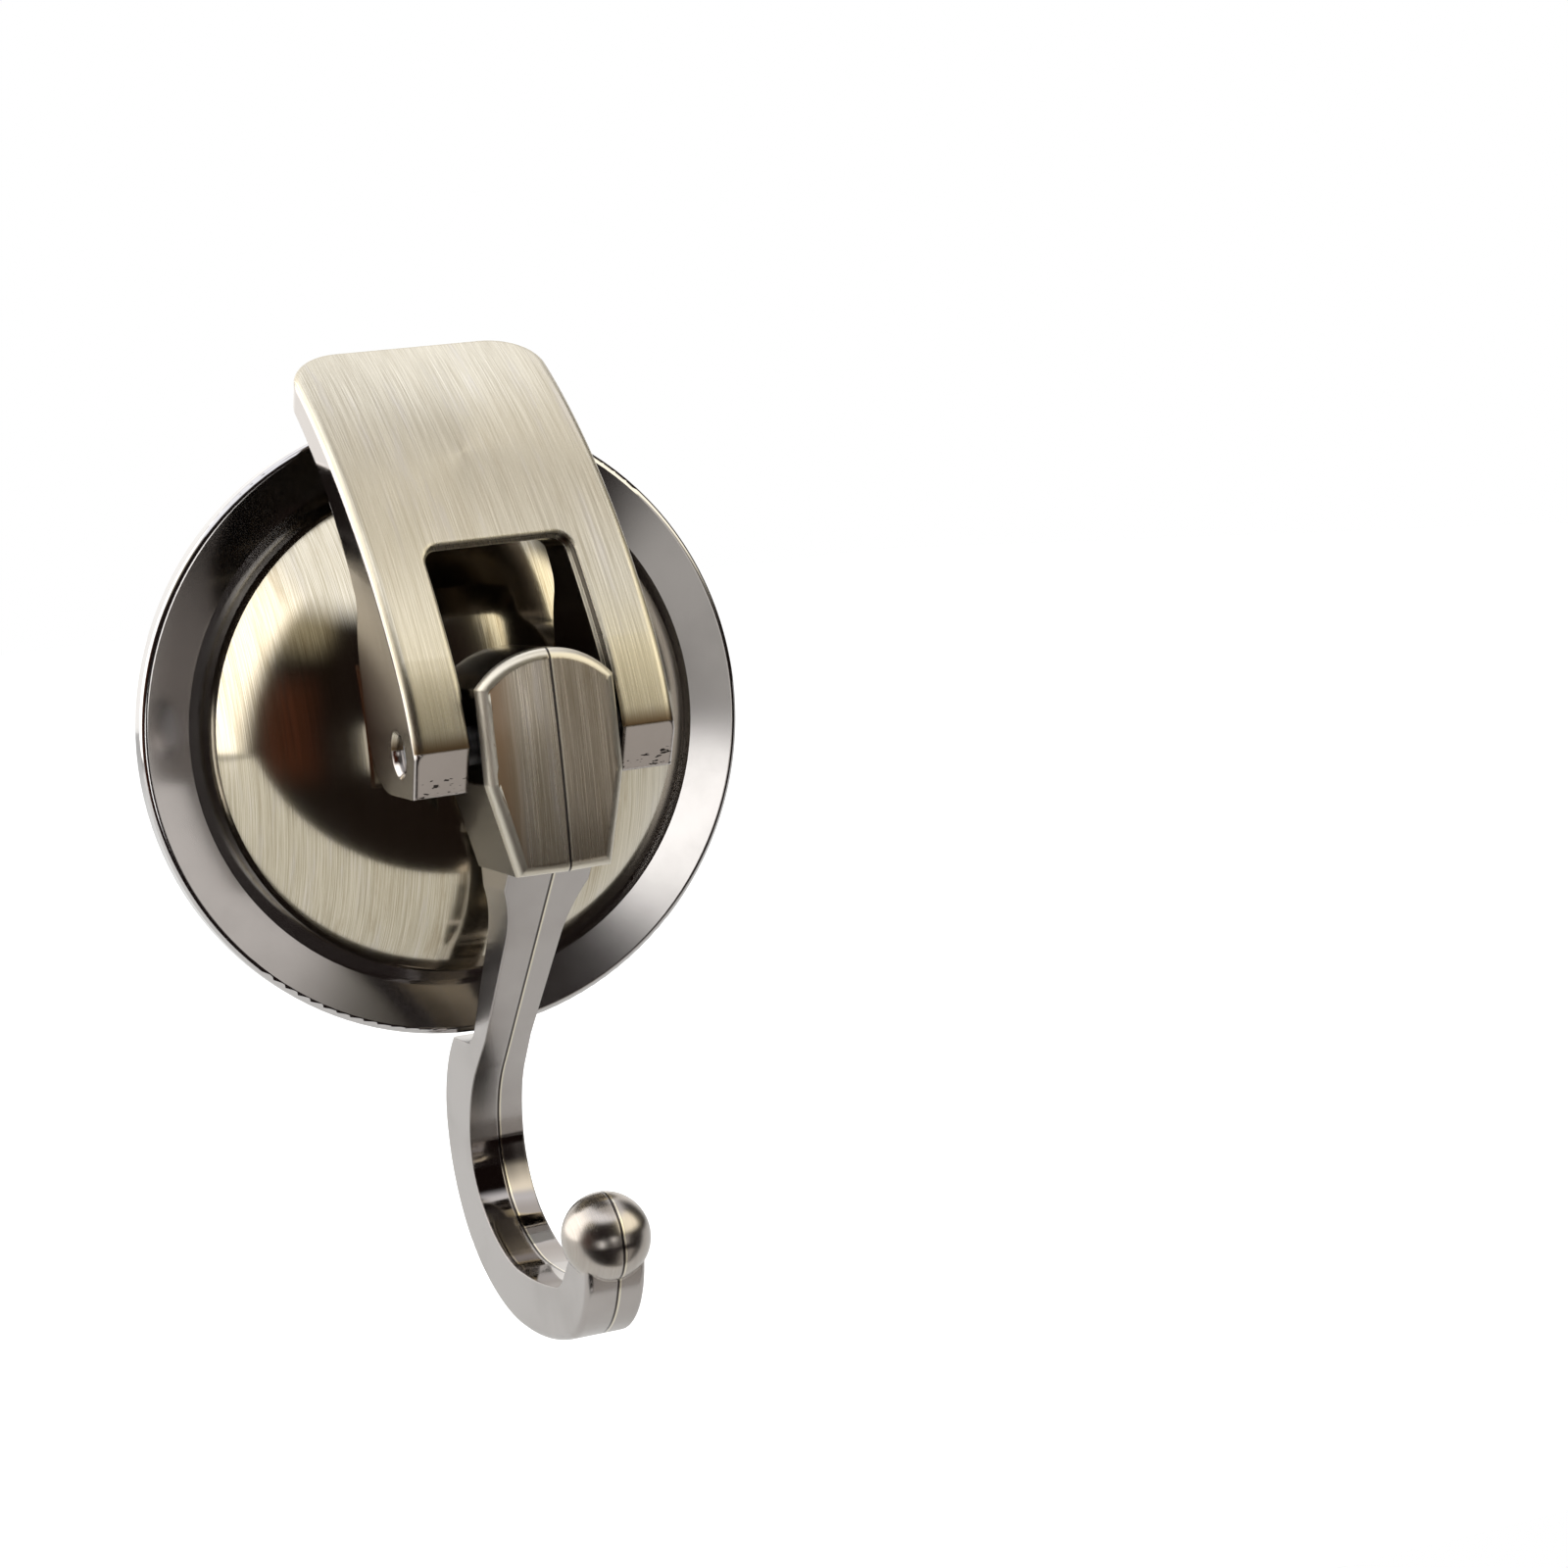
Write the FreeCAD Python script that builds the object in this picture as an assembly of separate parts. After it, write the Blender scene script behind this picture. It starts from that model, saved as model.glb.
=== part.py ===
# Suction cup hook with a cam lever. A soft cup is pulled hollow by a stem, a domed cover is
# pressed onto the cup's rim by the lever's cams, and a cast hook hangs on the same cross pin.
# Millimetres. X is to the right, Z is up, and the wall is the plane y = 0 with the hook on its
# -Y side. "Reach" is the distance out from the wall, so a point at reach r has y = -r.
import FreeCAD, Part
import os
from math import atan2, cos, hypot, pi, radians, sin, sqrt, tan

UNLOCK_STROKE = 2.8         # of the cover along the stem when the lever is opened by a quarter turn

# Domed cover.
COVER_R = 35.0
COVER_FRONT = 11.5          # reach of the flange's front edge
SKIRT_HEIGHT = 3.2          # how far the flange's side runs back from its front edge
EDGE_ROUND = 0.8
RING_INNER_R = 29.5
RING_DISH = 0.94            # how far the ring's inner edge lies behind its outer edge
GROOVE_WIDTH = 1.8
GROOVE_DEPTH = 1.9          # below the ring's inner edge
GROOVE_WALL = 1.5           # outside the groove, behind the ring
DOME_BASE_RISE = 1.4        # of the dome's edge above the flange's front edge
DOME_RISE = 18.0            # of the dome's top above the flange's front edge
DOME_EDGE_ROUND = 0.5
SHELL_WALL = 2.2
COLLAR_WALL = 2.4
COLLAR_LENGTH = 11.0
RIB_COUNT = 8
RIB_WALL = 1.6
RIB_DEPTH = 5.0

# Stem and its eye.
STEM_THICK = 5.0            # along the pin
STEM_HIGH = 7.8             # across the pin, and the width of the rounded eye
STEM_FOOT_R = 7.5
STEM_FOOT_THICK = 2.0
STEM_FOOT_REACH = 7.2
STEM_FOOT_HOLES = 6
STEM_FOOT_HOLE_R = 0.9
SLOT_CLEARANCE = 0.25       # stem in the cover's guide
POCKET_CLEARANCE = 0.1      # stem in the hook's pocket

# Cross pin.
PIN_REACH = 38.9
PIN_R = 2.0
PIN_FIT = 0.03              # radial, in the stem and the hook
PIN_RUNNING = 0.05          # radial, in the lever
PIN_RECESS = 1.0            # of its ends in the lever's sides
PIN_CHAMFER = 0.35
HOLE_CHAMFER = 0.45

# Suction cup, as it is when the lever holds it hollow.
CUP_R = 33.2                # at the wall
CUP_RIM_R = 33.9            # under the cover's skirt
CUP_SEAT_GAP = 0.25
LIP_WIDTH = 4.2             # of the ring that lies on the wall
LIP_ROUND = 0.5
CUP_WEB = 3.3               # thickness of the web between rim and hub
CUP_HOLLOW = 5.0            # depth of the vacuum space
CUP_HOLLOW_R = 9.5          # of its flat roof
CUP_HOLLOW_BELLY = 3.1      # its depth halfway from the lip to the flat roof
CUP_WEB_CLEARANCE = 1.1     # of the web's outer end from the cover's groove
HUB_R = 9.0
HUB_TOP = 12.2
HUB_ROUND = 0.8

# Lever. Its side outline is measured from the pin: out from the wall, and up.
LEVER_TIP_BACK = 27.9       # how far the tip lies behind the pin
LEVER_TIP_UP = 42.4
LEVER_KNEE_OUT = 3.0
LEVER_KNEE_UP = 9.4
LEVER_BOW = 3.1             # of the long front curve over its chord
LEVER_BACK_BOW = 2.5
LEVER_TIP_THICK = 3.6
ARM_FRONT = 6.0
ARM_FRONT_UP = 0.3          # where the brushed front ends, above the pin
ARM_BELOW = 4.4
ARM_TOE_OUT = 3.6           # where the toe's chamfer meets the flat end
WAIST_OUT = 8.7             # the narrow place above the cam lobe, behind the pin
WAIST_UP = 15.0
WAIST_ROUND = 3.0
CAM_BACK = 10.9             # the cam's locked radius, from the pin to the seat
CAM_TOP_UP = 8.5
CAM_SPARE = 0.32
CAM_ROUND = ARM_BELOW + UNLOCK_STROKE / (pi / 2) + CAM_SPARE    # so that the cam follows the stroke
CAM_GAP = 0.25
LEVER_HALF = 13.95          # half width at the pin
LEVER_TIP_HALF = 14.35
LEVER_CORNER_R = 6.0
LEVER_EDGE = 1.0
LEVER_SOFT_EDGE = 0.3       # of the window's front rim and of the toes
WINDOW_HALF = 8.15          # half width at the pin
WINDOW_TOP_HALF = 8.1
WINDOW_TOP_UP = 20.3
WINDOW_CORNER_R = 1.8
LEDGE_WIDTH = 0.45
LEDGE_DEPTH = 1.4
LEDGE_FROM_UP = 5.0
LEDGE_ANGLE = 30.0          # of the ledge's setback below the outward direction, in degrees

# Cam seats on the dome.
SEAT_INNER = 8.2
SEAT_OUTER = 13.7
SEAT_BELOW = 4.2
SEAT_ABOVE = 8.8
SEAT_FREE = 1.0             # free room left in the dome round each cam

# Hook head: a shield with two facets and a rounded rim.
HEAD_FRONT = 9.0            # of the facets' ridge, out from the pin
HEAD_CLEARANCE = 0.7        # from the dome's top when the lever is open
HEAD_BACK = PIN_REACH - COVER_FRONT - DOME_RISE - UNLOCK_STROKE - HEAD_CLEARANCE
HEAD_HALF = 7.2
HEAD_TOP = 9.4
HEAD_SHOULDER = 6.0
HEAD_WAIST = -3.6
HEAD_FOOT = -13.2
HEAD_FOOT_HALF = 4.95
HEAD_ROOF = 1.0             # fall of the facets from the ridge to the sides
HEAD_CROWN = 0.7            # fall of the ridge towards top and foot
HEAD_RIM_ROUND = 1.2
HEAD_OVERLAP = 2.0          # how far the shank runs up inside the head
POCKET_FRONT = 0.4          # free room in front of the eye

# Hook blade: shank, bend and post. "Out" is measured outward from the flange's front edge, and
# "drop" downward from the flange's lower edge.
SHANK_TOP_OUT = 28.6
SHANK_TOP_BELOW = 2.0       # where that is measured, below the head's foot
SHANK_FOOT_OUT = 5.6
SHANK_FOOT_DROP = 3.2
SHANK_BACK_TOP_OUT = 21.2
SHANK_BACK_LEAN = 1.7       # of the shank's back, outward over its last stretch above the notch
SHANK_BACK_FOOT_DROP = -0.7
NOTCH_GAP = 0.7             # in front of the flange when the lever is open
NOTCH_OUT = UNLOCK_STROKE + NOTCH_GAP
NOTCH_CLEARANCE = 0.45      # below the flange's edge
NOTCH_BACK_OUT = -3.2
NOTCH_FALL = 0.3
BEND_SHOULDER = 1.5         # how far the shoulder behind the notch stands off its chord
BEND_BACK_OUT = -8.0
BEND_BACK_DROP = 13.0
BEND_INNER_OUT = 1.3
BEND_INNER_DROP = 12.0
THROAT_HEEL_OUT = 5.0
THROAT_HEEL_DROP = 20.6
THROAT_DROP = 23.8
THROAT_TOE_OUT = 26.8       # where the floor starts to turn up into the post
THROAT_TOE_DROP = 22.6
THROAT_TURN = 1.6           # from there to the corner that the turn cuts, and from it up the post
POST_BACK_TOP_OUT = 34.5
POST_FRONT_OUT = 37.9       # at the height of the ball's centre
POST_FOOT_OUT = 30.5
POST_FOOT_DROP = 27.45
BEND_HEEL_OUT = 0.4
BEND_HEEL_DROP = 27.3
BEND_BOTTOM_OUT = 13.0
BEND_BOTTOM_DROP = 30.6
BALL_R = 4.6
BALL_SETBACK = 2.65         # of the ball's centre behind the post's front
BALL_DROP = 15.9
BLADE_ROOF = 0.06           # slope of the blade's two front facets
FLARE_HALF = 4.6            # half width where the shank leaves the head
FLARE_SPREAD = 7.2          # half width that the flare's curve would reach inside the head
FLARE_LENGTH = 8.5          # below the head's foot
SHANK_HALF = 3.1            # at the flare's foot
BEND_HALF = 2.7             # where the shank meets the notch
POST_HALF = 3.25
BLADE_ROUND = 0.7           # along the outside of the bend and the post

TOUCH = 0.01                # distance within which a point counts as lying on a line or plane
STRAIGHT = 1e-6             # sideways share below which an arc's first direction makes it a line
PAST = 2.0                  # how far a solid that cuts or trims another runs past it


def at(reach, up, x=0.0):
    """Point at a distance out from the wall."""
    return FreeCAD.Vector(x, -reach, up)


def line(a, b):
    return Part.makeLine(a, b)


def arc(a, b, c):
    """Arc from a through b to c."""
    return Part.Arc(a, b, c).toShape()


def bowed(a, c, bow, side):
    """Arc from a to c whose middle stands off its chord by bow, towards the vector side."""
    chord = c - a
    middle = (a + c) * 0.5
    normal = chord.cross(FreeCAD.Vector(1, 0, 0)).normalize()
    if normal.dot(side) < 0:
        normal = normal * -1
    return arc(a, middle + normal * bow, c)


def leaving(a, tangent, c):
    """Arc that leaves a along tangent and ends at c."""
    chord = c - a
    length = chord.Length
    along = FreeCAD.Vector(chord).normalize()
    across = tangent - along * tangent.dot(along)
    if across.Length < STRAIGHT * tangent.Length:
        return line(a, c)
    across.normalize()
    turn = atan2(FreeCAD.Vector(tangent).normalize().dot(across), tangent.dot(along) / tangent.Length)
    return arc(a, (a + c) * 0.5 + across * (length / 2 * tan(turn / 2)), c)


def end_tangent(edge):
    return edge.tangentAt(edge.LastParameter)


def chain(start, tangent, points):
    """Arcs through the points, each leaving the last one along its end tangent."""
    edges = []
    for point in points:
        edge = leaving(start, tangent, point)
        tangent = end_tangent(edge)
        edges.append(edge)
        start = point
    return edges


def face_of(edges):
    return Part.Face(Part.Wire(edges))


def polygon(points):
    return Part.makePolygon(points + [points[0]])


def box(x0, x1, reach0, reach1, z0, z1):
    return Part.makeBox(x1 - x0, reach1 - reach0, z1 - z0, FreeCAD.Vector(x0, -reach1, z0))


def across_x(face, half):
    """Solid from a side outline, drawn on x = 0, to the same half width on each side."""
    moved = face.copy()
    moved.translate(FreeCAD.Vector(-half, 0, 0))
    return moved.extrude(FreeCAD.Vector(2 * half, 0, 0))


def through_y(face, near, far):
    """Solid from a front outline, drawn on y = 0, between two reaches."""
    moved = face.copy()
    moved.translate(FreeCAD.Vector(0, -near, 0))
    return moved.extrude(FreeCAD.Vector(0, -(far - near), 0))


def pin_cylinder(radius, half, out=0.0):
    return Part.makeCylinder(radius, 2 * half, at(PIN_REACH + out, 0, -half), FreeCAD.Vector(1, 0, 0))


def edges_where(shape, test):
    """Edges whose centre of mass and direction pass the test."""
    return [e for e in shape.Edges if test(e, e.CenterOfMass)]


def groove_back():
    """Reach of the cover's back face behind the groove."""
    return COVER_FRONT - RING_DISH - GROOVE_DEPTH - SHELL_WALL


def dome_radius_and_centre():
    """Radius of the dome's sphere and the reach of its centre."""
    base_r = RING_INNER_R - GROOVE_WIDTH
    rise = DOME_RISE - DOME_BASE_RISE
    radius = (base_r ** 2 + rise ** 2) / (2 * rise)
    return radius, COVER_FRONT + DOME_RISE - radius


def make_cup_stem():
    """Stem with a drilled foot for the cup to grip and a rounded eye for the pin."""
    outward = FreeCAD.Vector(0, -1, 0)
    foot = Part.makeCylinder(STEM_FOOT_R, STEM_FOOT_THICK, at(STEM_FOOT_REACH, 0), outward)
    ring = (STEM_FOOT_R + hypot(STEM_THICK, STEM_HIGH) / 2) / 2
    for k in range(STEM_FOOT_HOLES):
        angle = 2 * pi * (k + 0.5) / STEM_FOOT_HOLES
        place = at(STEM_FOOT_REACH, ring * sin(angle), ring * cos(angle))
        foot = foot.cut(Part.makeCylinder(STEM_FOOT_HOLE_R, STEM_FOOT_THICK, place, outward))
    half_x, half_z = STEM_THICK / 2, STEM_HIGH / 2
    blade = box(-half_x, half_x, STEM_FOOT_REACH, PIN_REACH, -half_z, half_z)
    eye = pin_cylinder(STEM_HIGH / 2, STEM_THICK / 2)
    stem = foot.fuse(blade).fuse(eye).removeSplitter()
    return stem.cut(pin_cylinder(PIN_R + PIN_FIT, STEM_THICK))


def turned(edges):
    """Solid turned about the stem's axis from edges drawn on x = 0 above the axis."""
    return face_of(edges).revolve(FreeCAD.Vector(0, 0, 0), FreeCAD.Vector(0, -1, 0), 360)


def quarter(a, corner, c):
    """Rounded corner from a to c, inside the sharp corner between them."""
    centre = a + c - corner
    return arc(a, centre + (corner - centre) * sqrt(0.5), c)


def make_suction_cup(stem):
    """Clear soft cup: lip on the wall, hollow roof, web, rim under the skirt and hub on the stem."""
    def pt(r, reach):
        return at(reach, r)

    rim_top = COVER_FRONT - SKIRT_HEIGHT - CUP_SEAT_GAP
    lip_inner = CUP_R - LIP_WIDTH
    rim_inner = RING_INNER_R + GROOVE_WALL + CUP_SEAT_GAP
    web_foot = groove_back() - CUP_WEB_CLEARANCE
    web_inner = HUB_R + CUP_WEB / 2
    hub_foot = CUP_HOLLOW + CUP_WEB
    roof_mid = pt((lip_inner + CUP_HOLLOW_R) / 2, CUP_HOLLOW_BELLY)
    rim_low = pt(CUP_RIM_R, rim_top - LIP_ROUND)
    rim_high = pt(CUP_RIM_R - LIP_ROUND, rim_top)
    edges = [
        line(pt(0, CUP_HOLLOW), pt(CUP_HOLLOW_R, CUP_HOLLOW)),
        arc(pt(CUP_HOLLOW_R, CUP_HOLLOW), roof_mid, pt(lip_inner, 0)),
        line(pt(lip_inner, 0), pt(CUP_R - LIP_ROUND, 0)),
        quarter(pt(CUP_R - LIP_ROUND, 0), pt(CUP_R, 0), pt(CUP_R, LIP_ROUND)),
        line(pt(CUP_R, LIP_ROUND), rim_low),
        quarter(rim_low, pt(CUP_RIM_R, rim_top), rim_high),
        line(rim_high, pt(rim_inner, rim_top)),
        line(pt(rim_inner, rim_top), pt(rim_inner, web_foot)),
        arc(pt(rim_inner, web_foot), pt((lip_inner + HUB_R) / 2, (web_foot + hub_foot) / 2),
            pt(web_inner, hub_foot)),
        line(pt(web_inner, hub_foot), pt(HUB_R, hub_foot + CUP_WEB / 2)),
        line(pt(HUB_R, hub_foot + CUP_WEB / 2), pt(HUB_R, HUB_TOP - HUB_ROUND)),
        quarter(pt(HUB_R, HUB_TOP - HUB_ROUND), pt(HUB_R, HUB_TOP), pt(HUB_R - HUB_ROUND, HUB_TOP)),
        line(pt(HUB_R - HUB_ROUND, HUB_TOP), pt(0, HUB_TOP)),
        line(pt(0, HUB_TOP), pt(0, CUP_HOLLOW)),
    ]
    return turned(edges).cut(stem)


def make_dome_cover():
    """Flange, dished ring, groove and dome, turned as one shell."""
    def pt(r, reach):
        return at(reach, r)

    def on_sphere(sphere_r, r):
        return pt(r, centre + sqrt(sphere_r ** 2 - r ** 2))

    radius, centre = dome_radius_and_centre()
    inner_radius = radius - SHELL_WALL
    ring_inner = COVER_FRONT - RING_DISH
    groove = ring_inner - GROOVE_DEPTH
    floor = groove_back()
    base_r = RING_INNER_R - GROOVE_WIDTH
    wall_r = base_r - SHELL_WALL
    side_top = COVER_FRONT + DOME_BASE_RISE
    back = COVER_FRONT - SKIRT_HEIGHT
    skirt_r = RING_INNER_R + GROOVE_WALL
    dome_edge = on_sphere(radius, base_r - DOME_EDGE_ROUND)
    ceiling = on_sphere(inner_radius, 0)
    along_dome = (dome_edge - at(centre, 0)).cross(FreeCAD.Vector(1, 0, 0)).normalize()
    edges = [
        arc(on_sphere(radius, 0), on_sphere(radius, base_r / 2), dome_edge),
        leaving(dome_edge, along_dome, pt(base_r, side_top - DOME_EDGE_ROUND)),
        line(pt(base_r, side_top - DOME_EDGE_ROUND), pt(base_r, groove)),
        line(pt(base_r, groove), pt(RING_INNER_R, groove)),
        line(pt(RING_INNER_R, groove), pt(RING_INNER_R, ring_inner)),
        line(pt(RING_INNER_R, ring_inner), pt(COVER_R - EDGE_ROUND, COVER_FRONT)),
        quarter(pt(COVER_R - EDGE_ROUND, COVER_FRONT), pt(COVER_R, COVER_FRONT),
                pt(COVER_R, COVER_FRONT - EDGE_ROUND)),
        line(pt(COVER_R, COVER_FRONT - EDGE_ROUND), pt(COVER_R, back)),
        line(pt(COVER_R, back), pt(skirt_r, back)),
        line(pt(skirt_r, back), pt(skirt_r, floor)),
        line(pt(skirt_r, floor), pt(wall_r, floor)),
        line(pt(wall_r, floor), on_sphere(inner_radius, wall_r)),
        arc(on_sphere(inner_radius, wall_r), on_sphere(inner_radius, wall_r / 2), ceiling),
        line(ceiling, on_sphere(radius, 0)),
    ]
    return turned(edges)


def add_to_dome_cover(shell):
    """Guide collar, radial ribs and cam seats on the turned shell, with the stem's slot."""
    radius, centre = dome_radius_and_centre()
    inner_r = radius - SHELL_WALL
    ceiling = centre + inner_r
    overlap = SHELL_WALL / 2
    slot_x = STEM_THICK / 2 + SLOT_CLEARANCE
    slot_z = STEM_HIGH / 2 + SLOT_CLEARANCE
    collar_x, collar_z = slot_x + COLLAR_WALL, slot_z + COLLAR_WALL
    inside = Part.makeSphere(inner_r + overlap, at(centre, 0))
    below = Part.makeSphere(inner_r, at(centre, 0))
    hollow = Part.makeSphere(inner_r - RIB_DEPTH, at(centre, 0))
    wall_r = RING_INNER_R - GROOVE_WIDTH - SHELL_WALL
    rib_foot = COVER_FRONT - RING_DISH - GROOVE_DEPTH
    collar = box(-collar_x, collar_x, ceiling - COLLAR_LENGTH, ceiling + overlap, -collar_z, collar_z)
    collar = collar.common(inside)
    ribs = []
    for k in range(RIB_COUNT):
        rib = box(0, wall_r + overlap, rib_foot, ceiling, -RIB_WALL / 2, RIB_WALL / 2)
        rib.rotate(FreeCAD.Vector(0, 0, 0), FreeCAD.Vector(0, 1, 0), 360 * (k + 0.5) / RIB_COUNT)
        ribs.append(rib.common(inside).cut(hollow))
    seat = PIN_REACH - CAM_BACK - CAM_GAP
    free_z = CAM_TOP_UP + SEAT_FREE
    cover = shell.fuse([collar] + ribs)
    for sign in (-1, 1):
        inner, outer = sorted((sign * SEAT_INNER, sign * SEAT_OUTER))
        pad = box(inner, outer, centre, seat, -SEAT_BELOW, SEAT_ABOVE).cut(below)
        cover = cover.fuse(pad)
        inner, outer = sorted((sign * (WINDOW_HALF - SEAT_FREE), sign * (LEVER_HALF + SEAT_FREE)))
        cover = cover.cut(box(inner, outer, seat, seat + DOME_RISE, -free_z, free_z))
    cover = cover.cut(box(-slot_x, slot_x, 0, ceiling + DOME_RISE, -slot_z, slot_z))
    return cover.removeSplitter()


def make_pivot_pin():
    """Plain pin through both arms, the hook's cheeks and the stem's eye, with chamfered ends."""
    half = LEVER_HALF - PIN_RECESS
    pin = pin_cylinder(PIN_R, half)
    rims = edges_where(pin, lambda e, c: abs(abs(c.x) - half) < TOUCH)
    return pin.makeChamfer(PIN_CHAMFER, rims)


def lever_side_outline(shift_out=0.0, shift_up=0.0):
    """The lever's side outline on x = 0, moved by a shift out and up."""
    def pt(out, up):
        return at(PIN_REACH + out + shift_out, up + shift_up)

    outward = FreeCAD.Vector(0, -1, 1)
    tip = pt(-LEVER_TIP_BACK, LEVER_TIP_UP)
    knee = pt(LEVER_KNEE_OUT, LEVER_KNEE_UP)
    nose = pt(ARM_FRONT, ARM_FRONT_UP)
    front = bowed(tip, knee, LEVER_BOW, outward)
    tip_tangent, end_tangent = front.tangentAt(front.FirstParameter), front.tangentAt(front.LastParameter)
    inward = tip_tangent.cross(FreeCAD.Vector(1, 0, 0)).normalize()
    if inward.z > 0:
        inward = inward * -1
    tip_back = tip + inward * LEVER_TIP_THICK
    waist = pt(-WAIST_OUT, WAIST_UP)
    cam_top = pt(-CAM_BACK, CAM_TOP_UP)
    r = CAM_ROUND
    cam_low = pt(-CAM_BACK, r - ARM_BELOW)
    cam_mid = pt(r * (1 - sqrt(0.5)) - CAM_BACK, r * (1 - sqrt(0.5)) - ARM_BELOW)
    heel = pt(r - CAM_BACK, -ARM_BELOW)
    toe = pt(ARM_TOE_OUT, -ARM_BELOW)
    return face_of([
        front,
        leaving(knee, end_tangent, nose),
        line(nose, toe),
        line(toe, heel),
        arc(heel, cam_mid, cam_low),
        line(cam_low, cam_top),
        leaving(cam_top, FreeCAD.Vector(0, 0, 1), waist),
        bowed(waist, tip_back, LEVER_BACK_BOW, outward),
        line(tip_back, tip),
    ])


def fork_outline(low, high, top, corner, foot):
    """Front outline on y = 0 of a tongue whose half width runs from low at the pin to high."""
    slope = (high - low) / top
    lean = atan2(slope, 1)
    setback = corner * tan((pi / 2 + lean) / 2)
    side = FreeCAD.Vector(sin(lean), 0, cos(lean))
    tip = FreeCAD.Vector(high, 0, top)
    before = tip - side * setback
    after = tip - FreeCAD.Vector(setback, 0, 0)
    centre = after - FreeCAD.Vector(0, 0, corner)
    middle = centre + (tip - centre).normalize() * corner
    low_corner = FreeCAD.Vector(low + slope * foot, 0, foot)

    def other(p):
        return FreeCAD.Vector(-p.x, 0, p.z)

    return face_of([
        line(low_corner, before),
        arc(before, middle, after),
        line(after, other(after)),
        arc(other(after), other(middle), other(before)),
        line(other(before), other(low_corner)),
        line(other(low_corner), low_corner),
    ])


def make_lever():
    """Curved strap with a window and two fork arms that end in cams."""
    far = PIN_REACH + ARM_FRONT + LEVER_BOW
    foot = -ARM_BELOW - PAST
    over = LEVER_TIP_UP + PAST
    beyond = LEVER_TIP_HALF + PAST
    side = lever_side_outline()
    flare = (LEVER_TIP_HALF - LEVER_HALF) / LEVER_TIP_UP
    plan = polygon([FreeCAD.Vector(s * (LEVER_HALF + flare * z), 0, z)
                    for s, z in ((1, foot), (1, over), (-1, over), (-1, foot))])
    blank = across_x(side, beyond).common(through_y(Part.Face(plan), 0, far)).removeSplitter()
    corners = edges_where(blank, lambda e, c: c.z > LEVER_TIP_UP - LEVER_TIP_THICK and abs(c.x) > LEVER_HALF
                          and abs(e.Length - LEVER_TIP_THICK) < TOUCH)
    blank = blank.makeFillet(LEVER_CORNER_R, corners)
    waist = at(PIN_REACH - WAIST_OUT, WAIST_UP)
    blank = blank.makeFillet(WAIST_ROUND, edges_where(blank, lambda e, c: (c - waist).Length < TOUCH))
    fronts = side.Edges[:2]
    knee = at(PIN_REACH + LEVER_KNEE_OUT, LEVER_KNEE_UP)
    nose = at(PIN_REACH + ARM_FRONT, ARM_FRONT_UP)
    rim = edges_where(blank, lambda e, c: follows(e, fronts, TOUCH) and (c - knee).Length > TOUCH
                      and (c - nose).Length > TOUCH)
    blank = blank.makeFillet(LEVER_EDGE, rim)
    angle = radians(LEDGE_ANGLE)
    behind = across_x(lever_side_outline(-LEDGE_DEPTH * cos(angle), -LEDGE_DEPTH * sin(angle)), beyond)
    opening = fork_outline(WINDOW_HALF, WINDOW_TOP_HALF, WINDOW_TOP_UP, WINDOW_CORNER_R, foot)
    ledge = LEDGE_WIDTH
    inner = fork_outline(WINDOW_HALF - ledge, WINDOW_TOP_HALF - ledge, WINDOW_TOP_UP - ledge,
                         WINDOW_CORNER_R - ledge, foot)
    opening = through_y(opening, 0, far)
    low = opening.common(box(-LEVER_HALF, LEVER_HALF, 0, far, foot, LEDGE_FROM_UP))
    lever = blank.cut(low).cut(through_y(inner, 0, far)).cut(opening.cut(behind))
    lever = lever.removeSplitter()
    toe = line(nose, at(PIN_REACH + ARM_TOE_OUT, -ARM_BELOW))
    soft = edges_where(lever, lambda e, c: follows(e, [toe], TOUCH)
                       or follows(e, fronts, TOUCH) and abs(c.x) < WINDOW_HALF + TOUCH
                       and c.z < WINDOW_TOP_UP + TOUCH)
    lever = lever.makeFillet(LEVER_SOFT_EDGE, soft)
    lever = lever.cut(pin_cylinder(PIN_R + PIN_RUNNING, beyond)).removeSplitter()
    mouths = edges_where(lever, lambda e, c: abs(c.x) > LEVER_HALF - PIN_RECESS
                         and (c - at(PIN_REACH, 0, c.x)).Length < TOUCH)
    return lever.makeChamfer(HOLE_CHAMFER, mouths)


def out_at(out, up):
    """Point measured outward from the flange's front edge."""
    return at(COVER_FRONT + out, up)


def dropped(out, drop):
    """Point measured outward from the flange's front edge and down from its lower edge."""
    return out_at(out, -COVER_R - drop)


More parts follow.
